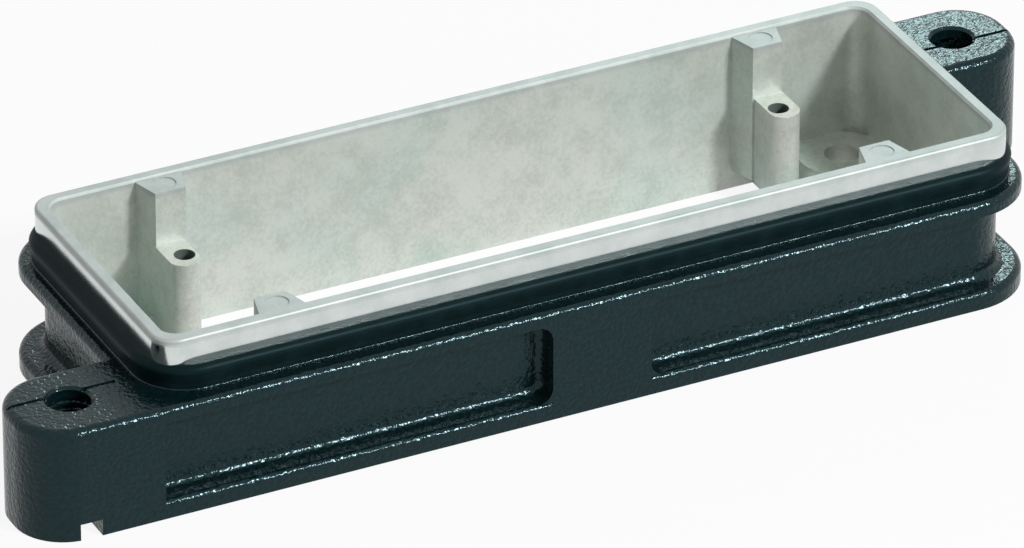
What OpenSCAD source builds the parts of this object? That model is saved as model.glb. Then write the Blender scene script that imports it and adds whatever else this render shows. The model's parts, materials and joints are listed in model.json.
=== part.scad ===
// Bulkhead-mounting housing of a 24-pole-size heavy duty rectangular connector.
// One aluminium die casting with a collar seal and a panel seal.
// Z is up, the panel face is at z = 0 and the origin is the middle of the panel face.
// The form is the same after half a turn about Z.

/* [Main sizes] */
// spacing of the insert's screws along X, which sets the housing's size
insert_pitch_x = 104; // [77.5:0.5:110]
// spacing of the insert's screws along Y
insert_pitch_y = 27; // [26.4:0.2:28]
// height of the upper flange's top and of the lugs above the panel
flange_top = 19.2; // [18.4:0.1:24]

/* [Flanges] */
// how far the flanges stand out from the collar at each end
flange_reach_x = 3.5; // [3.2:0.1:5]
// how far the flanges stand out from the collar on each side
flange_reach_y = 4.75; // [4.25:0.05:6]
// radius of the flange corners in plan
flange_corner_r = 11.5; // [10:0.5:12.5]
// thickness of the upper flange
upper_flange_t = 2.4; // [2:0.1:3]
// thickness of the base flange
base_flange_t = 3.1; // [2.8:0.1:3.6]
// how much further the base flange reaches at each end
base_reach = 0.3; // [0.1:0.1:0.6]
// rounding of the flanges' outer top edges
edge_r = 1.1; // [0.7:0.1:1.3]

/* [Recess] */
// how far the wall between the flanges stands back from them
recess_depth = 3.9; // [3.2:0.1:4.1]
// fillet where the recessed wall meets the flanges
recess_fillet = 1.4; // [0.8:0.1:1.6]
// left end of the flush pad on the front, from the middle
pad_left = 9.6; // [7:0.2:14]
// right end of the flush pad on the front, from the middle
pad_right = 7.4; // [5:0.2:12]
// rounding of the recess's corners beside the pad
pad_fillet = 2.6; // [1.5:0.1:3.5]

/* [Collar] */
// how far the collar's outside reaches past the insert's screws along X
collar_past_screws_x = 21.6; // [21.4:0.1:23]
// how far the collar's outside reaches past the insert's screws along Y
collar_past_screws_y = 11.25; // [11.1:0.05:11.8]
// radius of the collar's outside corners
collar_corner_r = 4; // [3.6:0.1:5]
// wall of the collar
collar_wall = 2.15; // [1.8:0.05:2.4]
// height of the collar's rim above the upper flange
collar_rise = 8.5; // [7.6:0.1:10.3]
// rounding of the rim's outer edge
rim_edge_r = 0.5; // [0.3:0.1:0.8]
// chamfer of the rim's inner edge
rim_chamfer = 0.35; // [0.2:0.05:0.6]
// how much thicker the wall is at its foot, inside
foot_step = 0.3; // [0.2:0.05:0.8]
// height of that thicker foot
foot_height = 5.6; // [4:0.2:8]
// height of the slope above the foot
foot_slope = 1; // [0.5:0.1:2]

/* [Lugs] */
// distance of the lug holes' axis outwards from the flange's end along X
lug_hole_out = 9.7; // [8.9:0.1:11.3]
// distance of the lug holes' axis inwards from the flange's side along Y
lug_hole_in = 9.6; // [8.9:0.1:10.1]
// metal from the lug holes' axis to the lugs' rounded end
lug_end = 10; // [8.8:0.1:11.8]
// width of the lugs along Y
lug_width = 18.5; // [17.6:0.1:19.5]
// rounding of the lugs' corners in plan
lug_corner_r = 8.2; // [7:0.1:8.6]
// rounding of the lugs' top edges away from the flush face
lug_edge_r = 1.4; // [0.8:0.1:1.8]
// fillet where a lug's inner side meets the recessed wall
lug_root_fillet = 3; // [1.5:0.5:4]
// how far the lugs' flush face reaches inwards from the flange's end
lug_face_in = 1.8; // [1.1:0.1:2.5]
// diameter of the lug holes' bored core
lug_hole_d = 6.8; // [6.2:0.1:7.2]
// chamfer at the mouth of the lug holes
lug_mouth = 0.45; // [0.3:0.05:0.7]
// width of the drain slot under each lug
drain_width = 3.6; // [2.6:0.1:4.4]
// height of the drain slot
drain_height = 2.8; // [2:0.1:3.4]
// offset of the drain slot outwards from the hole's axis
drain_offset = 0.9; // [0:0.1:1.2]
// offset of the witness groove from the hole's axis towards the middle
witness_offset = 1.7; // [0:0.1:2.3]
// width of the witness groove across the lug's top
witness_width = 0.75; // [0.3:0.05:1]
// depth of the witness groove
witness_depth = 0.45; // [0.2:0.05:0.7]

/* [Insert posts] */
// how far the posts stand outside their screws' axes along X
post_offset = 0.2; // [0:0.1:0.5]
// width of a post at its inner face
post_face_width = 5.2; // [4.6:0.1:5.8]
// width of a post at the wall
post_root_width = 8.4; // [7.4:0.1:9]
// how far the posts' faces stand behind the insert screws' axes along Y
post_face_back = 4.3; // [3.9:0.1:5]
// height of the posts' undersides above the panel
post_bottom = 3.3; // [2:0.1:4]
// depth of the posts' tops under the rim
post_drop = 0.3; // [0.2:0.1:1]
// diameter of the round die mark on each post
die_mark_d = 4; // [3:0.1:4.4]
// depth of the die mark
die_mark_depth = 0.15; // [0.1:0.05:0.3]
// depth of the screw bosses' tops under the upper flange's top
boss_drop = 1.1; // [0.4:0.1:2.2]
// how far the bosses stand outside their screws' axes along X
boss_offset = 0.5; // [0:0.1:0.7]
// radius of a boss's round end
boss_r = 2.55; // [2.45:0.05:3]
// how far a boss's round end is set in from its screw's axis along Y
boss_inset = 0.9; // [0.5:0.1:1.1]
// diameter of the insert screws' core hole
core_hole_d = 3.3; // [3:0.1:3.6]
// depth of that hole
core_hole_depth = 12; // [8:0.5:14]

/* [Panel screws] */
// how far the panel screws lie outside the insert's screws along X
panel_out_x = 13; // [12.5:0.1:13.4]
// how far the panel screws lie outside the insert's screws along Y
panel_out_y = 2.5; // [2:0.1:2.8]
// radius of a panel screw's pad
panel_pad_r = 7.2; // [6.6:0.1:7.4]
// height of the pads above the panel
panel_pad_top = 5.3; // [4.5:0.1:6]
// diameter of the panel screws' holes
panel_hole_d = 5.8; // [5.3:0.1:6.4]

/* [Collar seal] */
// height of the casting's seat under the collar seal
seat_height = 0.35; // [0.2:0.05:0.6]
// how far the seat stands out past the seal's foot
seat_reach = 0.15; // [0.1:0.05:0.3]
// rounding of the seat's top outer edge
seat_edge_r = 0.25; // [0.1:0.05:0.25]
// thickness of the collar seal's upper part
seal_t = 2; // [1.8:0.1:2.2]
// thickness of the collar seal's foot
seal_foot_t = 1.65; // [1.5:0.05:1.75]
// height of the collar seal above its seat
seal_height = 3.85; // [3.25:0.1:4.25]
// height of the upright part of the seal's foot
seal_foot_height = 0.8; // [0.4:0.1:1.6]
// radius of the collar seal's outside corners
seal_corner_r = 9; // [7:0.5:9]
// rounding of the collar seal's top outer edge
seal_edge_r = 1.2; // [0.8:0.1:1.3]

/* [Panel seal] */
// width of the panel seal's groove
groove_width = 3; // [2.4:0.1:3.4]
// depth of the groove
groove_depth = 1.6; // [1.2:0.1:1.9]
// distance of the groove from the flange's edge
groove_inset = 3.2; // [2.6:0.1:3.4]
// room left beside the panel seal on each side
groove_clearance = 0.15; // [0.1:0.05:0.3]

/* [Hidden] */
$fn = 64;

// derived sizes
collar_half_length = insert_pitch_x / 2 + collar_past_screws_x;
collar_half_width = insert_pitch_y / 2 + collar_past_screws_y;
flange_half_length = collar_half_length + flange_reach_x;
flange_half_width = collar_half_width + flange_reach_y;
rim_height = flange_top + collar_rise;
panel_pitch_x = insert_pitch_x + 2 * panel_out_x;
panel_pitch_y = insert_pitch_y + 2 * panel_out_y;
post_face_y = insert_pitch_y / 2 + post_face_back;
boss_end_y = insert_pitch_y / 2 - boss_inset;
boss_top = flange_top - boss_drop;
lug_hole_x = flange_half_length + lug_hole_out;
lug_hole_y = flange_half_width - lug_hole_in;
lug_end_x = lug_hole_x + lug_end;
lug_inner_x = flange_half_length - lug_face_in;
seal_core_x = collar_half_length + seal_t - seal_corner_r;
seal_core_y = collar_half_width + seal_t - seal_corner_r;
seat_top = flange_top + seat_height;
core_x = flange_half_length - flange_corner_r;
core_y = flange_half_width - flange_corner_r;
base_core_x = core_x + base_reach;
wall_r = flange_corner_r - recess_depth;
flange_under = flange_top - upper_flange_t;
recess_height = flange_under - base_flange_t;
inside_x = collar_half_length - collar_wall;
inside_y = collar_half_width - collar_wall;
inside_r = max(collar_corner_r - collar_wall, 2.8);
lug_front = flange_half_width;
lug_back = flange_half_width - lug_width;
lug_mid = (lug_front + lug_back) / 2;
over = 1;

// sweeps a profile (x out from the corner's axis, y up) round a rounded rectangle
module sweep_round(cx, cy) {
    for (c = [[cx, cy, 0], [-cx, cy, 90], [-cx, -cy, 180], [cx, -cy, 270]])
        translate([c[0], c[1], 0]) rotate([0, 0, c[2]]) rotate_extrude(angle = 90) children();
    for (s = [[cx, 2 * cy, 0], [-cx, 2 * cy, 180]])
        translate([s[0], 0, 0]) rotate([0, 0, s[2]]) translate([0, s[1] / 2, 0])
            rotate([90, 0, 0]) linear_extrude(height = s[1]) children();
    for (s = [[cy, 2 * cx, 90], [-cy, 2 * cx, 270]])
        translate([0, s[0], 0]) rotate([0, 0, s[2]]) translate([0, s[1] / 2, 0])
            rotate([90, 0, 0]) linear_extrude(height = s[1]) children();
}

// a rounded rectangle in plan
module round_rect(hx, hy, r) {
    square([2 * hx - 2 * r, 2 * hy], center = true);
    square([2 * hx, 2 * hy - 2 * r], center = true);
    for (sx = [-1, 1], sy = [-1, 1]) translate([sx * (hx - r), sy * (hy - r)]) circle(r);
}

// a block's section whose upper outer corner is rounded
module soft_edge(w, h, r) {
    difference() {
        square([w, h]);
        translate([w - r, h - r]) difference() {
            square([r + over, r + over]);
            circle(r);
        }
    }
}

// the filling of an inside corner, its point at the origin
module fillet(r) {
    difference() {
        square([r, r]);
        translate([r, r]) circle(r);
    }
}

// sections of the base flange, of the recessed wall and of the upper flange
module base_section() {
    soft_edge(flange_corner_r, base_flange_t, edge_r);
}

module wall_section() {
    square([wall_r, flange_top]);
    translate([wall_r, base_flange_t]) fillet(recess_fillet);
    translate([wall_r, flange_under]) mirror([0, 1]) fillet(recess_fillet);
}

module upper_section() {
    translate([0, flange_under]) soft_edge(flange_corner_r, upper_flange_t, edge_r);
}

// the flanges and the recessed wall between them, solid inside
module body_block() {
    sweep_round(base_core_x, core_y) base_section();
    sweep_round(core_x, core_y) { wall_section(); upper_section(); }
    translate([-core_x, -core_y, 0]) cube([2 * core_x, 2 * core_y, flange_top]);
}

// the pad that stands flush with the flanges on the front, seen from the front
module flush_pad() {
    translate([0, -flange_half_width, 0]) rotate([90, 0, 0]) mirror([0, 0, 1])
        linear_extrude(height = recess_depth + over) {
            translate([-pad_left, base_flange_t - edge_r])
                square([pad_left + pad_right, recess_height + 2 * edge_r]);
            for (s = [[-pad_left, 1], [pad_right, 0]], t = [0, 1])
                translate([s[0], t == 0 ? base_flange_t : flange_under])
                    mirror([s[1], 0]) mirror([0, t]) fillet(pad_fillet);
        }
}

// section through a lug's rounded side, out from its corner's axis
module lug_section() {
    soft_edge(lug_corner_r, flange_top, lug_edge_r);
}

// one lug, at the front left corner
module lug() {
    cx = lug_end_x - lug_corner_r;
    hy = lug_width / 2 - lug_corner_r;
    // the rounded end
    for (s = [[1, 90], [-1, 180]])
        translate([-cx, -lug_mid + s[0] * hy, 0]) rotate([0, 0, s[1]])
            rotate_extrude(angle = 90) lug_section();
    // the flat between the two roundings
    translate([-cx, -lug_mid, 0]) rotate([0, 0, 180]) translate([0, hy, 0])
        rotate([90, 0, 0]) linear_extrude(height = 2 * hy) lug_section();
    // front and back sides, to the start of the recess
    for (s = [[1, 90], [-1, 270]])
        translate([-(cx + lug_inner_x) / 2, -lug_mid + s[0] * hy, 0]) rotate([0, 0, s[1]])
            translate([0, (cx - lug_inner_x) / 2, 0]) rotate([90, 0, 0])
                linear_extrude(height = cx - lug_inner_x) lug_section();
    translate([-cx, -lug_mid - hy, 0]) cube([cx - lug_inner_x + over, 2 * hy, flange_top]);
    // the root that ties the lug to the recessed wall
    translate([-lug_inner_x, -lug_mid - hy, 0])
        cube([lug_inner_x - core_x + wall_r / 2, lug_mid - lug_back + hy, flange_top]);
    translate([-(core_x + wall_r), -lug_back, base_flange_t / 2]) mirror([1, 0, 0])
        linear_extrude(height = flange_under + upper_flange_t / 2 - base_flange_t / 2)
            fillet(lug_root_fillet);
    // the front face runs on along both flanges to their straight part
    translate([-(lug_inner_x + core_x) / 2, -core_y, 0]) rotate([0, 0, 270])
        translate([0, (lug_inner_x - core_x) / 2, 0]) rotate([90, 0, 0])
            linear_extrude(height = lug_inner_x - core_x) {
                base_section();
                wall_section();
                upper_section();
            }
}

// what is cut from a lug: tapped hole, its mouth, drain slot and witness groove
module lug_cuts() {
    translate([-lug_hole_x, -lug_hole_y, 0]) {
        translate([0, 0, -over]) cylinder(d = lug_hole_d, h = flange_top + 2 * over);
        translate([0, 0, flange_top - lug_mouth])
            rotate_extrude() polygon([[0, 0], [lug_hole_d / 2, 0],
                [lug_hole_d / 2 + lug_mouth + over, lug_mouth + over], [0, lug_mouth + over]]);
        translate([-drain_offset - drain_width / 2, -lug_width, -over])
            cube([drain_width, lug_width, drain_height + over]);
        translate([-lug_end - over, witness_offset - witness_width / 2,
                   flange_top - witness_depth])
            cube([lug_end_x + over - lug_inner_x - 3, witness_width, witness_depth + over]);
    }
}

// the collar's outside, with its rim rounded
module collar_block() {
    sweep_round(collar_half_length - collar_corner_r, collar_half_width - collar_corner_r)
        soft_edge(collar_corner_r, rim_height, rim_edge_r);
    translate([-(collar_half_length - collar_corner_r), -(collar_half_width - collar_corner_r), 0])
        cube([2 * (collar_half_length - collar_corner_r),
              2 * (collar_half_width - collar_corner_r), rim_height]);
}

// section of the hollow, out from its corner's axis: thicker foot and chamfered rim
module cavity_section() {
    polygon([[0, -over], [inside_r - foot_step, -over],
             [inside_r - foot_step, foot_height - foot_slope], [inside_r, foot_height],
             [inside_r, rim_height - rim_chamfer],
             [inside_r + rim_chamfer + over, rim_height + over], [0, rim_height + over]]);
}

// the seat that carries the collar seal, with its outer edge rounded
module seal_seat() {
    seat = seal_corner_r - seal_t + seal_foot_t + seat_reach;
    sweep_round(seal_core_x, seal_core_y) soft_edge(seat, seat_top, seat_edge_r);
    translate([-seal_core_x, -seal_core_y, 0])
        cube([2 * seal_core_x, 2 * seal_core_y, seat_top]);
}

// the hollow inside, open at both ends
module cavity() {
    cx = inside_x - inside_r;
    cy = inside_y - inside_r;
    sweep_round(cx, cy) cavity_section();
    translate([-cx, -cy, -over]) cube([2 * cx, 2 * cy, rim_height + 2 * over]);
}

// one insert post with its boss, at the back right
module post() {
    root_y = inside_y + collar_wall / 2;
    translate([insert_pitch_x / 2, 0, post_bottom]) {
        translate([post_offset, 0, 0]) linear_extrude(height = rim_height - post_drop - post_bottom)
            polygon([[-post_face_width / 2, post_face_y], [post_face_width / 2, post_face_y],
                     [post_root_width / 2, root_y], [-post_root_width / 2, root_y]]);
        translate([boss_offset, 0, 0]) linear_extrude(height = boss_top - post_bottom) {
            translate([0, boss_end_y]) circle(boss_r);
            translate([-boss_r, boss_end_y])
                square([2 * boss_r, root_y - boss_end_y]);
        }
    }
}

// one panel-screw pad with the web that ties it to its post, at the back right
module panel_pad() {
    root_y = inside_y + collar_wall / 2;
    linear_extrude(height = panel_pad_top) {
        intersection() {
            translate([panel_pitch_x / 2, panel_pitch_y / 2]) circle(panel_pad_r);
            square([inside_x + collar_wall / 2, root_y]);
        }
        translate([insert_pitch_x / 2 + post_offset, panel_pitch_y / 2 + panel_pad_r / 3])
            square([(panel_pitch_x - insert_pitch_x) / 2 - post_offset,
                    root_y - panel_pitch_y / 2 - panel_pad_r / 3]);
    }
}

// what is cut from a post and a pad, at the back right
module post_cuts() {
    translate([insert_pitch_x / 2, insert_pitch_y / 2, boss_top - core_hole_depth])
        cylinder(d = core_hole_d, h = core_hole_depth + over);
    translate([insert_pitch_x / 2 + post_offset, post_face_y + post_face_width / 2,
               rim_height - post_drop - die_mark_depth])
        cylinder(d = die_mark_d, h = die_mark_depth + post_drop + over);
    translate([panel_pitch_x / 2, panel_pitch_y / 2, -over])
        cylinder(d = panel_hole_d, h = panel_pad_top + 2 * over);
}

// the ring of the panel seal's groove or of the seal itself
module groove_ring(inset, w, below) {
    sweep_round(core_x, core_y)
        translate([flange_corner_r - inset - w, -below]) square([w, groove_depth + below]);
}

module housing() {
    color([0.13, 0.14, 0.14]) {
        difference() {
            union() {
                difference() {
                    union() {
                        body_block();
                        collar_block();
                        seal_seat();
                        for (a = [0, 180]) rotate([0, 0, a]) { flush_pad(); lug(); }
                    }
                    cavity();
                }
                for (a = [0, 180]) rotate([0, 0, a]) {
                    post();
                    mirror([1, 0, 0]) post();
                    panel_pad();
                    mirror([1, 0, 0]) panel_pad();
                }
            }
            for (a = [0, 180]) rotate([0, 0, a]) {
                lug_cuts();
                post_cuts();
                mirror([1, 0, 0]) post_cuts();
            }
            groove_ring(groove_inset, groove_width, over);
        }
    }
}

// section of the collar seal, out from its corner's axis, its side drawn in at the foot
module seal_section() {
    foot = seal_corner_r - seal_t + seal_foot_t;
    difference() {
        soft_edge(seal_corner_r, seal_height, seal_edge_r);
        polygon([[foot, -over], [foot, seal_foot_height],
                 [seal_corner_r, seal_height - seal_edge_r],
                 [seal_corner_r + over, seal_height - seal_edge_r],
                 [seal_corner_r + over, -over]]);
    }
}

module collar_seal() {
    color([0.05, 0.06, 0.07])
        translate([0, 0, seat_top]) difference() {
            union() {
                sweep_round(seal_core_x, seal_core_y) seal_section();
                translate([-seal_core_x, -seal_core_y, 0])
                    cube([2 * seal_core_x, 2 * seal_core_y, seal_height]);
            }
            translate([0, 0, -over]) linear_extrude(height = seal_height + 2 * over)
                round_rect(collar_half_length, collar_half_width, collar_corner_r);
        }
}

module panel_seal() {
    color([0.08, 0.08, 0.08])
        groove_ring(groove_inset + groove_clearance, groove_width - 2 * groove_clearance, 0);
}

housing();
collar_seal();
panel_seal();
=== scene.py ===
# %% [markdown]
# # A panel-mounting connector housing
# This lesson dresses one aluminium die casting and its two rubber seals. The
# solids come ready-made as a fixed frame, in metres, with the origin in the
# middle of the panel face. The lesson takes the casting's recess to its full
# depth, cuts its threads, coats one part of it black and leaves the rest bare,
# and lights it plainly on a white ground.

# %% Load the frame
import json
import math

import bmesh
import bpy
from mathutils import Matrix, Vector

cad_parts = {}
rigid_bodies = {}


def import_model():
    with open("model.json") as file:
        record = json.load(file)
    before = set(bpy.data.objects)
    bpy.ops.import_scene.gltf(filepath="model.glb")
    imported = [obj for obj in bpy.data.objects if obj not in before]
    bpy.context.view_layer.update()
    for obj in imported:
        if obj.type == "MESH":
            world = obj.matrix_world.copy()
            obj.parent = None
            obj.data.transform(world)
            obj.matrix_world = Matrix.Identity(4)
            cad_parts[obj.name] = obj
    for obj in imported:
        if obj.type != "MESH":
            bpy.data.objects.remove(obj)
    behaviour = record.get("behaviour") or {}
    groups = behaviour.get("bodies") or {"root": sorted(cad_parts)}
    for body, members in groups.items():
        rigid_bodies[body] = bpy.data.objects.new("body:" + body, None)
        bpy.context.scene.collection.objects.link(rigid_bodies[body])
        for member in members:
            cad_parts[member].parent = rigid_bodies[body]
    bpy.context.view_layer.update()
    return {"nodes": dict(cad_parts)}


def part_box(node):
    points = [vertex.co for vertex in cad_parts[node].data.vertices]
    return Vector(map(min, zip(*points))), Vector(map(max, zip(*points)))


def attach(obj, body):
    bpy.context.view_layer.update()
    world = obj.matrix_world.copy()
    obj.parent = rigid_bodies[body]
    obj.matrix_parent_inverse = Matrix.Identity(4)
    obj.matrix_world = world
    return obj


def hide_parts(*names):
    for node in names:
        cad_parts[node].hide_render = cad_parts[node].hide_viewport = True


for leftover in list(bpy.data.objects):
    bpy.data.objects.remove(leftover)
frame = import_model()
casting_low, casting_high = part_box("housing")
seal_low, seal_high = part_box("collar_seal")
print("solids span", [round(v, 4) for v in casting_high - casting_low])

# %% [markdown]
# ## The sizes that the finish follows
# A finish has to know where the casting's own features are: the collar's
# outline, the flange's top and the two tapped lugs. They could be measured off
# the mesh, but a few named sizes are easier to read and to change. Heights come
# from the frame's boxes, so they follow the solids.

# %% Sizes of the casting
MM = 0.001
SEAT_HEIGHT = 0.35 * MM
FLANGE_TOP = seal_low.z - SEAT_HEIGHT
RIM_TOP = casting_high.z
SEAL_THICKNESS = 2.0 * MM
COLLAR_HALF = (seal_high.x - SEAL_THICKNESS, seal_high.y - SEAL_THICKNESS)
COLLAR_CORNER = 4.0 * MM
COLLAR_WALL = 2.15 * MM
LUG_HOLE = (86.8 * MM, 19.9 * MM)
LUG_HOLE_RADIUS = 3.4 * MM
INSERT_SCREW = (52 * MM, 13.5 * MM)
print("collar outline", [round(v / MM, 2) for v in COLLAR_HALF], "mm")

# %% [markdown]
# ## The recessed sides
# Between its two flanges the casting steps in, and a fillet runs along the foot
# of the step. In the solids the seat of the collar seal reaches down behind the
# recess. It leaves it too shallow, by about 1 mm on the long sides and 2 mm at
# the ends, with most of the fillet buried. Moving the points that are there
# keeps the casting in one piece, which a second wall in front would not. Each
# point on the seat's side, and on what shows of the fillet, moves in to the
# recessed wall, which then meets the ledges in a clean edge.

# %% Distances to the recessed wall
RECESS_DEPTH = 3.9 * MM
RECESS_FILLET = 1.4 * MM
RECESS_FLOOR, RECESS_ROOF = 3.1 * MM, 16.8 * MM
FLANGE_HALF, FLANGE_CORNER = (77.1 * MM, 29.5 * MM), 11.5 * MM
WALL_HALF = [half - RECESS_DEPTH for half in FLANGE_HALF]
WALL_CORNER = FLANGE_CORNER - RECESS_DEPTH
TOUCH = 0.03 * MM


def from_outline(point, half, corner):
    """Distance in plan from a rounded rectangle, negative inside."""
    aside = abs(point.x) - (half[0] - corner)
    along = abs(point.y) - (half[1] - corner)
    round_part = math.hypot(max(aside, 0), max(along, 0))
    return round_part + min(max(aside, along), 0) - corner


def by_lug(point):
    """True at the two corners where a lug stands and the wall runs straight on."""
    return point.x * point.y > 0 and abs(point.y) > WALL_HALF[1] - TOUCH


def from_wall(point):
    """Distance in plan from the recessed wall, negative inside."""
    if by_lug(point):
        return abs(point.y) - WALL_HALF[1]
    return from_outline(point, WALL_HALF, WALL_CORNER)


def onto_wall(point):
    """Moves a point to the nearest place on the recessed wall."""
    if by_lug(point):
        point.y = math.copysign(WALL_HALF[1], point.y)
        return
    core = [half - WALL_CORNER for half in WALL_HALF]
    aside, along = abs(point.x) - core[0], abs(point.y) - core[1]
    reach = math.hypot(max(aside, 0), max(along, 0)) / WALL_CORNER
    if aside > 0:
        point.x = math.copysign(core[0] + aside / reach, point.x)
    if along > 0:
        point.y = math.copysign(core[1] + along / reach, point.y)


print("recessed wall", [round(v / MM, 2) for v in WALL_HALF], "mm")


# %% [markdown]
# Most points of the casting must stay where they are, so two tests pick the
# ones to move. They compare a point with the seat's outline and with the
# fillet's arc. Picking by position is safer than picking by number, because the
# numbers of the points change whenever the solids are rebuilt.

# %% Deepen the recess
SEAT_OUT = 1.8 * MM
SEAT_HALF = [half + SEAT_OUT for half in COLLAR_HALF]
SEAT_CORNER = 8.8 * MM
SEAT_REACH = 0.1 * MM


def in_recess(point):
    """True between the two ledges of the recess."""
    return RECESS_FLOOR - TOUCH < point.z < RECESS_ROOF + TOUCH


def on_fillet(point):
    """True on the fillet's arc, short of where it runs out on a ledge."""
    out = from_wall(point)
    above = min(point.z - RECESS_FLOOR, RECESS_ROOF - point.z)
    arc = math.hypot(RECESS_FILLET - out, RECESS_FILLET - above)
    return (-TOUCH < out < RECESS_FILLET - TOUCH and above < RECESS_FILLET + TOUCH
            and abs(arc - RECESS_FILLET) < TOUCH)


def deepen_recess(work):
    """Takes the recess to its full depth, with clean edges at its foot."""
    moved = 0
    for vertex in work.verts:
        point = vertex.co
        on_seat = abs(from_outline(point, SEAT_HALF, SEAT_CORNER)) < TOUCH
        if not in_recess(point) or not (on_seat or on_fillet(point)):
            continue
        reach = RECESS_FILLET + TOUCH if on_fillet(point) else SEAT_REACH
        for ledge in (RECESS_FLOOR, RECESS_ROOF):
            if abs(point.z - ledge) < reach:
                point.z = ledge
        onto_wall(point)
        moved += 1
    print("recess points moved in:", moved)


print("the recess is to be", round(RECESS_DEPTH / MM, 2), "mm deep")


# %% [markdown]
# ## A copy of the casting to finish
# The frame's mesh is loose triangles and must stay as it is, so the finished
# casting is a copy. Its doubles are merged and its flat faces joined, because a
# bevel needs clean edges to run along. Moving the points leaves a few slivers,
# and joining faces can leave more, so the cleaning runs several times.

# %% Copy and clean the casting
SAME_POINT = 0.004 * MM
SLIVER = 0.012 * MM
FLAT_ANGLE = math.radians(0.4)
CLEANINGS = 3


def cleaned_copy(node, name):
    """A copy of a solid's mesh with merged points and whole flat faces."""
    work = bmesh.new()
    work.from_mesh(frame["nodes"][node].data)
    bmesh.ops.remove_doubles(work, verts=work.verts, dist=SAME_POINT)
    deepen_recess(work)
    bmesh.ops.remove_doubles(work, verts=work.verts, dist=SAME_POINT)
    for _ in range(CLEANINGS):
        bmesh.ops.dissolve_degenerate(work, dist=SLIVER, edges=work.edges)
        bmesh.ops.dissolve_limit(
            work, angle_limit=FLAT_ANGLE, verts=work.verts, edges=work.edges)
    mesh = bpy.data.meshes.new(name)
    work.to_mesh(mesh)
    work.free()
    while mesh.attributes.get("custom_normal"):
        mesh.attributes.remove(mesh.attributes["custom_normal"])
    piece = bpy.data.objects.new(name, mesh)
    bpy.context.scene.collection.objects.link(piece)
    return piece


casting = cleaned_copy("housing", "casting")
print("casting has", len(casting.data.polygons), "faces")

# %% [markdown]
# ## Cast edges
# A die casting has a fillet wherever two walls meet, so that the metal flows and
# the corner doesn't crack. The solids hold the roundings of the outer edges, so
# the foot of the recess is the one that needs a real fillet here. A Bevel
# modifier makes it, and bevel weights tell it which edges to round, because an
# angle alone would pick every sharp edge. It can't use clamping, which shrinks
# a bevel everywhere to suit the shortest edge. A second pass takes every other
# sharp edge, with clamping, so its width is only a limit: it comes out far too
# small to change the shape, and only how the light runs along the edges.

# %% Round the edges
SHARP_ANGLE = math.radians(34)
FINE_EDGE = 0.14 * MM
FINE_STEPS = 2
FILLET_STEPS = 6


def is_recess_foot(edge):
    """True where the recessed wall meets the ledges, the pads and the lugs."""
    return all(in_recess(vertex.co) and abs(from_wall(vertex.co)) < TOUCH
               for vertex in edge.verts)


def evaluated(piece):
    """Puts the result of a piece's modifiers in its own mesh."""
    bpy.context.view_layer.update()
    ready = piece.evaluated_get(bpy.context.evaluated_depsgraph_get())
    mesh = bpy.data.meshes.new_from_object(ready)
    piece.modifiers.clear()
    piece.data = mesh


def rounded(piece, chosen, width, steps, clamp):
    """Rounds the sharp edges that a test picks."""
    work = bmesh.new()
    work.from_mesh(piece.data)
    layer = (work.edges.layers.float.get("bevel_weight_edge")
             or work.edges.layers.float.new("bevel_weight_edge"))
    count = 0
    for edge in work.edges:
        sharp = len(edge.link_faces) == 2 and edge.calc_face_angle(0) > SHARP_ANGLE
        picked = sharp and chosen(edge)
        edge[layer] = float(picked)
        count += picked
    work.to_mesh(piece.data)
    work.free()
    bevel = piece.modifiers.new("rounding", "BEVEL")
    bevel.limit_method = "WEIGHT"
    bevel.width = width
    bevel.segments = steps
    bevel.use_clamp_overlap = clamp
    evaluated(piece)
    print("rounded", count, "edges:", len(piece.data.polygons), "faces")


rounded(casting, is_recess_foot, RECESS_FILLET, FILLET_STEPS, False)
rounded(casting, lambda edge: True, FINE_EDGE, FINE_STEPS, True)

# %% [markdown]
# ## Threads in the lugs
# The hood's locking screws turn into the two lugs, so each has an M8 thread,
# 1.25 mm from turn to turn. A bump could fake it, but its profile shows at the
# hole's mouth, so it is cut in the mesh. A spiral curve with a narrow diamond
# swept along it is the shape of the tap's cut. Geometry Nodes make it from four
# named sizes, and a Boolean takes it out of the hole's wall.

# %% Nodes for the tap's cut
STEPS_PER_TURN = 48
CUT_NARROWING = 0.72


def link(tree, start, out, end, into):
    """Joins one node's output to another node's input."""
    tree.links.new(start.outputs[out], end.inputs[into])


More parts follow.
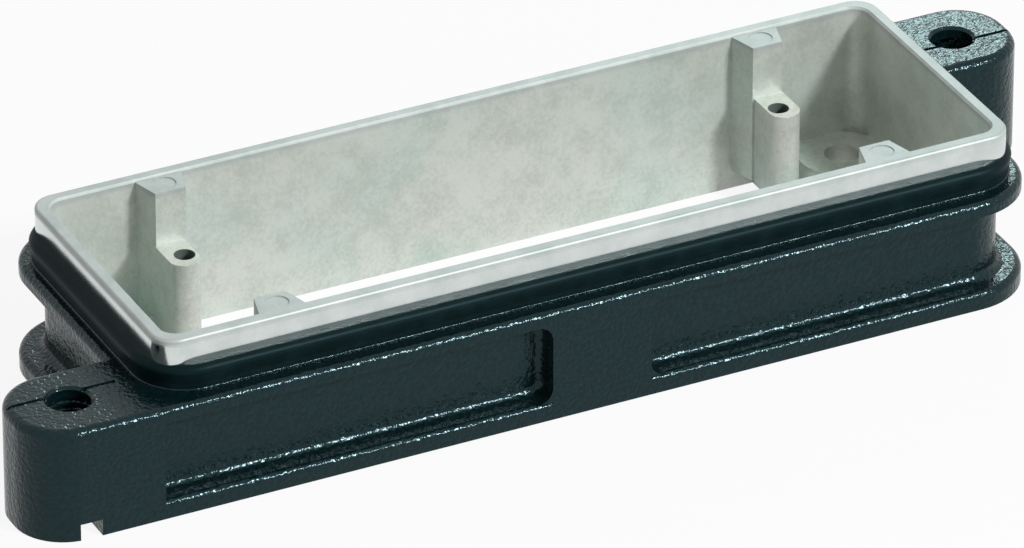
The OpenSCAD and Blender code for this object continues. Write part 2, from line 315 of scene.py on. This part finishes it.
def tap_tree():
    """Geometry Nodes: a diamond swept along a spiral."""
    tree = bpy.data.node_groups.new("tap_cut", "GeometryNodeTree")
    for label in ("Radius", "Pitch", "Depth", "Turns"):
        tree.interface.new_socket(label, in_out="INPUT", socket_type="NodeSocketFloat")
    tree.interface.new_socket("Geometry", in_out="OUTPUT", socket_type="NodeSocketGeometry")
    new = tree.nodes.new
    sizes, result = new("NodeGroupInput"), new("NodeGroupOutput")
    spiral, height = new("GeometryNodeCurveSpiral"), new("ShaderNodeMath")
    height.operation = "MULTIPLY"
    link(tree, sizes, "Pitch", height, 0)
    link(tree, sizes, "Turns", height, 1)
    spiral.inputs["Resolution"].default_value = STEPS_PER_TURN
    for socket, label in (("Rotations", "Turns"), ("Start Radius", "Radius"),
                          ("End Radius", "Radius")):
        link(tree, sizes, label, spiral, socket)
    link(tree, height, 0, spiral, "Height")
    upright = new("GeometryNodeSetCurveNormal")
    upright.mode = "Z_UP"
    link(tree, spiral, 0, upright, "Curve")
    diamond, narrow = new("GeometryNodeCurvePrimitiveCircle"), new("GeometryNodeTransform")
    diamond.inputs["Resolution"].default_value = 4
    narrow.inputs["Scale"].default_value = (1, CUT_NARROWING, 1)
    link(tree, sizes, "Depth", diamond, "Radius")
    link(tree, diamond, 0, narrow, "Geometry")
    sweep, whole = new("GeometryNodeCurveToMesh"), new("GeometryNodeRealizeInstances")
    sweep.inputs["Fill Caps"].default_value = True
    link(tree, upright, 0, sweep, "Curve")
    link(tree, narrow, 0, sweep, "Profile Curve")
    finish = new("GeometryNodeSetMaterial")
    link(tree, sweep, 0, whole, 0)
    link(tree, whole, 0, finish, 0)
    link(tree, finish, 0, result, 0)
    return tree


print("the tap's cut has", STEPS_PER_TURN, "steps to a turn")


# %% [markdown]
# Each lug gets a cut of its own, moved to the hole's axis. It has to be closed
# before the Boolean, or it would have no inside, so its doubles are merged and
# its open edges are counted. The thread stops short of the hole's mouth, as it
# does below a countersink. The casting has to be closed too, and the first
# Boolean leaves a few edges open. So the second one, in the right lug, opens the
# hole's wall along the thread but doesn't fill in the sides of the groove. One
# Boolean with both cuts joined might avoid that.

# %% Cut the threads
THREAD_PITCH = 1.25 * MM
THREAD_DEPTH = 0.5 * MM
THREAD_BOTTOM = 3.4 * MM
THREAD_TOP = FLANGE_TOP - 1.8 * MM
SEAM = 0.001 * MM


def tap(name, x, y):
    """The tap's cut, as a mesh in place on one lug hole's axis."""
    cut = bpy.data.objects.new(name, bpy.data.meshes.new(name))
    bpy.context.scene.collection.objects.link(cut)
    grow = cut.modifiers.new("tap", "NODES")
    grow.node_group = tap_tree()
    values = {"Radius": LUG_HOLE_RADIUS, "Pitch": THREAD_PITCH, "Depth": THREAD_DEPTH,
              "Turns": (THREAD_TOP - THREAD_BOTTOM) / THREAD_PITCH}
    for item in grow.node_group.interface.items_tree:
        if item.item_type == "SOCKET" and item.name in values:
            grow[item.identifier] = values[item.name]
    evaluated(cut)
    cut.data.transform(Matrix.Translation((x, y, THREAD_BOTTOM)))
    work = bmesh.new()
    work.from_mesh(cut.data)
    bmesh.ops.remove_doubles(work, verts=work.verts, dist=SEAM)
    bmesh.ops.recalc_face_normals(work, faces=work.faces)
    print(name, "volume", round(work.calc_volume() / MM ** 3, 2), "mm3, open edges",
          sum(not edge.is_manifold for edge in work.edges))
    work.to_mesh(cut.data)
    work.free()
    return cut


for name, side in (("tap_left", -1), ("tap_right", 1)):
    cut = tap(name, side * LUG_HOLE[0], side * LUG_HOLE[1])
    boolean = casting.modifiers.new("thread", "BOOLEAN")
    boolean.object = cut
    boolean.operation = "DIFFERENCE"
    boolean.solver = "EXACT"
    evaluated(casting)
    bpy.data.objects.remove(cut)
print("threaded casting has", len(casting.data.polygons), "faces")

# %% [markdown]
# ## Smooth shading
# Curved faces are smooth-shaded and real corners stay sharp, so the facets of
# the copy don't show in the gloss. Smooth shading alone would bend the light on
# the long flat walls near their edges. So each corner's normal leans to its
# widest face, and the walls stay flat right up to their rounded edges.

# %% Shade the casting
casting.data.shade_smooth()
casting.data.set_sharp_from_angle(angle=SHARP_ANGLE)
level = casting.modifiers.new("level_faces", "WEIGHTED_NORMAL")
level.mode = "FACE_AREA"
level.keep_sharp = True
evaluated(casting)
print("normals levelled:", casting.data.has_custom_normals)
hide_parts("housing")
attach(casting, "root")


# %% [markdown]
# ## Shader sums
# The finishes are worked out from the position on the casting, which takes many
# Math nodes. Making each by hand would bury the formula. So a small class wraps
# a socket: ordinary sums add Math nodes, and one method makes any other node.

# %% A socket that can do sums
class Wire:
    """One output socket of a material's node tree."""

    def __init__(self, tree, socket=None):
        self.tree, self.socket = tree, socket

    def node(self, kind, settings=None, inputs=None, out=0):
        """Makes a node, with its settings first, and gives one of its outputs."""
        made = self.tree.nodes.new(kind)
        for key, value in (settings or {}).items():
            setattr(made, key, value)
        for key, value in (inputs or {}).items():
            if isinstance(value, Wire):
                self.tree.links.new(value.socket, made.inputs[key])
            else:
                made.inputs[key].default_value = value
        return Wire(self.tree, made.outputs[out]) if made.outputs else None

    def sum(self, operation, *values):
        """A Math node's result."""
        return self.node("ShaderNodeMath", {"operation": operation}, dict(enumerate(values)))

    def __add__(self, other):
        return self.sum("ADD", self, other)

    def __sub__(self, other):
        return self.sum("SUBTRACT", self, other)

    def __rsub__(self, other):
        return self.sum("SUBTRACT", other, self)

    def __mul__(self, other):
        return self.sum("MULTIPLY", self, other)

    def __abs__(self):
        return self.sum("ABSOLUTE", self)

    __radd__ = __add__

    def over(self, low, high):
        """0 below low, 1 above high and a soft step between."""
        return self.node("ShaderNodeMapRange", {"interpolation_type": "SMOOTHSTEP"},
                         {"Value": self, "From Min": low, "From Max": high})

    def mixed(self, first, second):
        """The first colour where this is 0 and the second where it is 1."""
        return self.node("ShaderNodeMix", {"data_type": "RGBA"},
                         {0: self, 6: first, 7: second}, out=2)


def rgb(red, green, blue):
    """An opaque colour, as a socket takes it."""
    return (red, green, blue, 1.0)


print("a Wire can", [name for name in vars(Wire) if not name.startswith("_")])

# %% [markdown]
# ## Where the casting is bare
# The housing is coated black with the collar and the inside masked off, so the
# two finishes meet at real edges of the casting. One shader with a painted mask
# would blur that line. Instead its faces are sorted by where they lie: a face is
# bare if all its corners are inside the cavity or on the collar.

# %% Sort the faces
CLOSE = 0.15 * MM
COAT, BARE = 0, 1


def is_bare(point):
    """True inside the cavity and on the collar above the flange."""
    distance = from_outline(point, COLLAR_HALF, COLLAR_CORNER)
    return distance < CLOSE - COLLAR_WALL or (
        distance < CLOSE and point.z > FLANGE_TOP + CLOSE)


casting.data.materials.clear()
for face in casting.data.polygons:
    corners = (casting.data.vertices[i].co for i in face.vertices)
    face.material_index = BARE if all(is_bare(corner) for corner in corners) else COAT
print("bare faces:", sum(face.material_index == BARE for face in casting.data.polygons))

# %% [markdown]
# ## Noise
# Paint, cast metal and rubber all vary a little from place to place. Noise in
# the object's own coordinates gives that at a true size, with no picture to
# stretch over the shape.

# %% A fresh material and its noise
MIDDLE = (0.3, 0.7)


def new_material(name):
    """An empty material and the start of its sums."""
    material = bpy.data.materials.new(name)
    material.use_nodes = True
    material.node_tree.nodes.clear()
    return material, Wire(material.node_tree)


def noise(start, place, size, detail=2.0, roughness=0.5):
    """Noise between 0 and 1 whose lumps are about one size across."""
    return start.node("ShaderNodeTexNoise", None, {
        "Vector": place, "Scale": 1 / size, "Detail": detail, "Roughness": roughness})


print("most noise lies between", MIDDLE)


# %% [markdown]
# ## The black coat
# The coat is a thin black lacquer with a touch of green, baked over a blasted
# casting. It is glossy but far from flat: every lump turns its own way, so a
# lug's top glitters and each edge's highlight breaks into dashes. Lumps this
# small would need millions of faces, so a strong Bump makes them. A low IOR
# keeps faces seen straight on dark.

# %% Finish the coat
COAT_LUMP = 0.7 * MM
COAT_HEIGHT = 0.15 * MM
COAT_COLOURS = rgb(0.002, 0.008, 0.009), rgb(0.003, 0.013, 0.015)
COAT_ROUGHNESS = 0.18
COAT_IOR = 1.36
COAT_TINT = rgb(0.62, 0.93, 1.0)


def lacquer():
    """The coat's material."""
    material, start = new_material("black_lacquer")
    place = start.node("ShaderNodeTexCoord", out="Object")
    peel = noise(start, place, COAT_LUMP, 1.0)
    bump = start.node("ShaderNodeBump", None, {
        "Strength": 1.0, "Distance": 1.0, "Height": peel * COAT_HEIGHT})
    shader = start.node("ShaderNodeBsdfPrincipled", None, {
        "Base Color": peel.over(*MIDDLE).mixed(*COAT_COLOURS),
        "Roughness": COAT_ROUGHNESS,
        "IOR": COAT_IOR,
        "Specular Tint": COAT_TINT,
        "Normal": bump})
    start.node("ShaderNodeOutputMaterial", None, {"Surface": shader})
    return material


casting.data.materials.append(lacquer())
print("coat finished")


# %% [markdown]
# ## Inside and outside
# The bare metal has two looks: ground smooth outside, as cast inside. They could
# be two materials, but it is one metal, so they change over softly along the
# rim's inner edge. The shader works out the same outline distance as above, this
# time in Math nodes.

# %% Tell inside from outside
def axes_of(start, place):
    """The three coordinates of a place."""
    split = start.tree.nodes.new("ShaderNodeSeparateXYZ")
    start.tree.links.new(place.socket, split.inputs[0])
    return [Wire(start.tree, split.outputs[i]) for i in range(3)]


def length(start, aside, along):
    """The distance that two offsets make together."""
    return start.sum("SQRT", aside * aside + along * along)


def inside_mask(start, x, y):
    """1 inside the collar's wall and 0 outside it."""
    aside = abs(x) - (COLLAR_HALF[0] - COLLAR_CORNER)
    along = abs(y) - (COLLAR_HALF[1] - COLLAR_CORNER)
    round_part = length(start, start.sum("MAXIMUM", aside, 0.0),
                        start.sum("MAXIMUM", along, 0.0))
    flat_part = start.sum("MINIMUM", start.sum("MAXIMUM", aside, along), 0.0)
    distance = round_part + flat_part - COLLAR_CORNER
    return 1 - distance.over(-COLLAR_WALL - 0.1 * MM, -COLLAR_WALL + 0.3 * MM)


print("the look changes", round(COLLAR_WALL / MM, 2), "mm in from the collar's outside")


# %% [markdown]
# ## The bare metal
# Outside, the collar is ground smooth and mirrors the seal's black in a band
# above it. Its rim is duller. Inside, the metal keeps its cast skin: rougher,
# mottled and a little greenish where light has bounced often. The insert
# screws' core holes are painted dark and unmetallic, a painted shade for the
# shade deep inside them. Three sizes of noise and three masks mix these
# looks in one material, so that they blend as they do on metal.

# %% Finish the bare metal
OUTSIDE_ROUGHNESS, RIM_ROUGHNESS, INSIDE_ROUGHNESS = 0.13, 0.5, 0.42
RIM_DULLING, INSIDE_DULLING = 0.7, 0.6
CAST_HEIGHT, GROUND_HEIGHT = 0.06 * MM, 0.006 * MM
SKIN_SIZE, MOTTLE_SIZE, CLOUD_SIZE = 0.7 * MM, 5 * MM, 22 * MM
RIM_BAND = (RIM_TOP - 1.6 * MM, RIM_TOP - 0.5 * MM)
CORE_HOLE_BAND = (1.65 * MM, 1.77 * MM)
OUTER_COLOURS = rgb(0.58, 0.635, 0.615), rgb(0.67, 0.715, 0.70)
PALE_COLOURS = rgb(0.55, 0.625, 0.58), rgb(0.62, 0.635, 0.59)
DULL_COLOURS = rgb(0.43, 0.515, 0.465), rgb(0.49, 0.515, 0.46)
RIM_COLOURS = rgb(0.39, 0.44, 0.425), rgb(0.49, 0.53, 0.515)
# Painted shade: the dark, unmetallic colour inside the insert screws' core holes.
HOLE_PAINTED_SHADE = rgb(0.10, 0.13, 0.115)


def bare_metal():
    """The material of the collar and of everything inside it."""
    material, start = new_material("bare_cast_aluminium")
    place = start.node("ShaderNodeTexCoord", out="Object")
    x, y, z = axes_of(start, place)
    inside = inside_mask(start, x, y)
    rim = z.over(*RIM_BAND)
    # Painted shade: inside each core hole the colour goes dark and Metallic drops to 0.
    from_screw = length(start, abs(x) - INSERT_SCREW[0], abs(y) - INSERT_SCREW[1])
    clear_of_hole_shade = from_screw.over(*CORE_HOLE_BAND)
    skin = noise(start, place, SKIN_SIZE, 4.0, 0.75)
    mottle = noise(start, place, MOTTLE_SIZE, 4.0, 0.6)
    cloud = noise(start, place, CLOUD_SIZE)
    outer = mottle.over(*MIDDLE).mixed(*OUTER_COLOURS)
    pale = cloud.over(0.35, 0.65).mixed(*PALE_COLOURS)
    dull = cloud.over(0.35, 0.65).mixed(*DULL_COLOURS)
    inner = (mottle * 0.5 + skin * 0.5).over(0.36, 0.6).mixed(dull, pale)
    on_rim = mottle.over(*MIDDLE).mixed(*RIM_COLOURS)
    grey = rim.mixed(inside.mixed(outer, inner), on_rim)
    roughness = inside * INSIDE_ROUGHNESS + (1 - inside) * OUTSIDE_ROUGHNESS
    shine = start.sum("MINIMUM", 1 - inside * INSIDE_DULLING, 1 - rim * RIM_DULLING)
    bump = start.node("ShaderNodeBump", None, {
        "Strength": 1.0, "Distance": 1.0,
        "Height": skin * (inside * CAST_HEIGHT + (1 - inside) * GROUND_HEIGHT)})
    shader = start.node("ShaderNodeBsdfPrincipled", None, {
        "Base Color": clear_of_hole_shade.mixed(HOLE_PAINTED_SHADE, grey),
        "Metallic": shine * clear_of_hole_shade,
        "Roughness": start.sum("MAXIMUM", roughness, rim * RIM_ROUGHNESS) + mottle * 0.05,
        "Normal": bump})
    start.node("ShaderNodeOutputMaterial", None, {"Surface": shader})
    return material


casting.data.materials.append(bare_metal())
print("casting wears", [material.name for material in casting.data.materials])


# %% [markdown]
# ## The rubber seals
# Both seals are dull black rubber. The collar seal takes up a little dust, so
# it is a shade lighter in places. Their shapes are whole in the frame and need
# only a material. One function makes both, with two shades and a roughness for
# each.

# %% Finish the seals
DUST_SIZE, GRAIN_SIZE = 3 * MM, 0.5 * MM
GRAIN_HEIGHT, GRAIN_STRENGTH = 0.05 * MM, 0.35
RUBBER_IOR = 1.18
RUBBER_TINT = rgb(0.5, 0.9, 1.0)


def rubber(name, low, high, rough):
    """A seal's material."""
    material, start = new_material(name)
    place = start.node("ShaderNodeTexCoord", out="Object")
    dust = noise(start, place, DUST_SIZE, 4.0)
    bump = start.node("ShaderNodeBump", None, {
        "Strength": GRAIN_STRENGTH, "Distance": GRAIN_HEIGHT,
        "Height": noise(start, place, GRAIN_SIZE)})
    shader = start.node("ShaderNodeBsdfPrincipled", None, {
        "Base Color": dust.over(0.4, 0.75).mixed(low, high),
        "Roughness": dust * 0.1 + rough,
        "IOR": RUBBER_IOR,
        "Specular Tint": RUBBER_TINT,
        "Normal": bump})
    start.node("ShaderNodeOutputMaterial", None, {"Surface": shader})
    return material


for node, low, high, rough in (
        ("collar_seal", rgb(0.003, 0.009, 0.010), rgb(0.005, 0.014, 0.016), 0.38),
        ("panel_seal", rgb(0.006, 0.008, 0.008), rgb(0.012, 0.014, 0.014), 0.6)):
    seal = frame["nodes"][node]
    seal.data.materials.clear()
    seal.data.materials.append(rubber(f"{node}_rubber", low, high, rough))
    print(node, "finished")


# %% [markdown]
# ## Floor and surroundings
# The part stands on plain white with hardly any shadow. A white floor and a
# bright world would do it, but they would also flood the part with light. So
# both look at the kind of ray. Where the camera or a reflection looks, they are
# nearly or fully white. As a source of light they are much weaker.

# %% Floor and world
FLOOR_HALF = 3.0
FLOOR_GREY = 0.85
FLOOR_GLOW = 0.9
WORLD_STRENGTH = 0.27
WHITE = rgb(1, 1, 1)


def looked_at(start):
    """1 for a ray from the camera, a reflection or a clear thing, and 0 for others."""
    path = start.tree.nodes.new("ShaderNodeLightPath")
    camera, glossy, through = (Wire(start.tree, path.outputs[f"Is {kind} Ray"])
                               for kind in ("Camera", "Glossy", "Transmission"))
    return start.sum("MAXIMUM", start.sum("MAXIMUM", camera, glossy), through)


bpy.ops.mesh.primitive_plane_add(size=2 * FLOOR_HALF, location=(0, 0, 0))
floor = bpy.context.object
floor.name = "floor"
material, start = new_material("floor_white")
seen = looked_at(start)
glow = start.node("ShaderNodeEmission", None, {"Color": WHITE, "Strength": 1.0})
matt = start.node("ShaderNodeBsdfDiffuse", None, {
    "Color": rgb(FLOOR_GREY, FLOOR_GREY, FLOOR_GREY)})
surface = start.node("ShaderNodeMixShader", None, {0: seen * FLOOR_GLOW, 1: matt, 2: glow})
start.node("ShaderNodeOutputMaterial", None, {"Surface": surface})
floor.data.materials.append(material)

world = bpy.context.scene.world or bpy.data.worlds.new("surroundings")
bpy.context.scene.world = world
world.use_nodes = True
world.node_tree.nodes.clear()
start = Wire(world.node_tree)
background = start.node("ShaderNodeBackground", None, {
    "Color": WHITE,
    "Strength": WORLD_STRENGTH + looked_at(start) * (1 - WORLD_STRENGTH)})
start.node("ShaderNodeOutputWorld", None, {"Surface": background})
print("floor and surroundings are in place")


# %% [markdown]
# ## Lamps
# A small bright lamp at the front right lights the inside and draws the thin
# highlights along the rounded edges. A weaker, slightly green one behind makes
# the lumps on the tops of the lugs glitter. Large lamps would be softer, but
# they would blur these fine highlights.

# %% Lamps
def lamp(name, place, size, power, colour=(1, 1, 1)):
    """A square area lamp that faces the origin."""
    data = bpy.data.lights.new(name, "AREA")
    data.shape, data.size, data.energy = "SQUARE", size, power
    data.color = colour
    made = bpy.data.objects.new(name, data)
    bpy.context.scene.collection.objects.link(made)
    made.location = place
    made.rotation_euler = (-Vector(place)).to_track_quat("-Z", "Y").to_euler()
    print(name, "stands", round(Vector(place).length, 2), "m away")


lamp("back_lamp", (0.36, 0.56, 0.37), 0.14, 0.85, (0.78, 1.0, 0.98))
lamp("front_lamp", (0.62, -1.18, 0.89), 0.22, 24)

# %% [markdown]
# ## Camera
# A long lens from the front left, thirty degrees up, so that the long sides
# stay nearly parallel. Two angles and a distance place it, because they are
# easier to adjust than three coordinates and a rotation.

# %% Camera
CAMERA_AZIMUTH = math.radians(-26.49)
CAMERA_ELEVATION = math.radians(30.18)
CAMERA_DISTANCE = 1.6409
CAMERA_ASIDE, CAMERA_ABOVE = -1.8 * MM, 7.05 * MM
CAMERA_LENS, CAMERA_SENSOR = 367.96, 36
CAMERA_CLIP = (0.1, 20)

back = Vector((math.sin(CAMERA_AZIMUTH) * math.cos(CAMERA_ELEVATION),
               -math.cos(CAMERA_AZIMUTH) * math.cos(CAMERA_ELEVATION),
               math.sin(CAMERA_ELEVATION)))
right = (-back).cross(Vector((0, 0, 1))).normalized()
up = right.cross(-back)
turn = Matrix((right, up, back)).transposed()
place = back * CAMERA_DISTANCE + right * CAMERA_ASIDE + up * CAMERA_ABOVE
camera = bpy.data.objects.new("camera", bpy.data.cameras.new("camera"))
bpy.context.scene.collection.objects.link(camera)
camera.matrix_world = Matrix.Translation(place) @ turn.to_4x4()
camera.data.lens = CAMERA_LENS
camera.data.sensor_width = CAMERA_SENSOR
camera.data.clip_start, camera.data.clip_end = CAMERA_CLIP
bpy.context.scene.camera = camera
bpy.context.scene.view_settings.view_transform = "Standard"
print("camera at", [round(v, 3) for v in camera.location])

# %% [markdown]
# ## Finish
